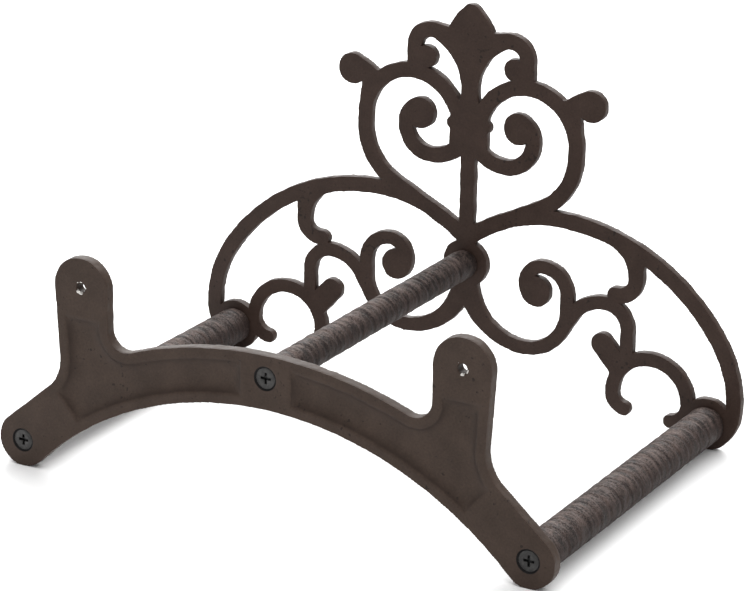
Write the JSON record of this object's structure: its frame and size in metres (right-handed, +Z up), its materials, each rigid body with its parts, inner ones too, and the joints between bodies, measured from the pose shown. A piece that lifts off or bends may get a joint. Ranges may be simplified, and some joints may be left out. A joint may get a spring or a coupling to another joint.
{
  "type": "hose hanger",
  "caption": "Wall hanger for a garden hose: an arched cast bracket, round rods that carry the coil and a pierced scroll plate in front that keeps it on.",
  "frame": {"origin": "midway between the two ear holes, on the wall plane", "axes": "+Z up, +Y into the wall, so the hanger stands out towards -Y; +X along the line through the ear holes"},
  "size_m": [0.299, 0.1917, 0.2007],
  "materials": {
    "painted_casting": "matt",
    "painted_rod": "matt",
    "dark_screw": "satin"
  },
  "bodies": {
    "root": {"wall_bracket": "painted_casting", "front_plate": "painted_casting", "rod_left": "painted_rod", "rod_centre": "painted_rod", "rod_right": "painted_rod", "bracket_screws": "dark_screw", "plate_screws": "dark_screw"}
  },
  "joints": []
}
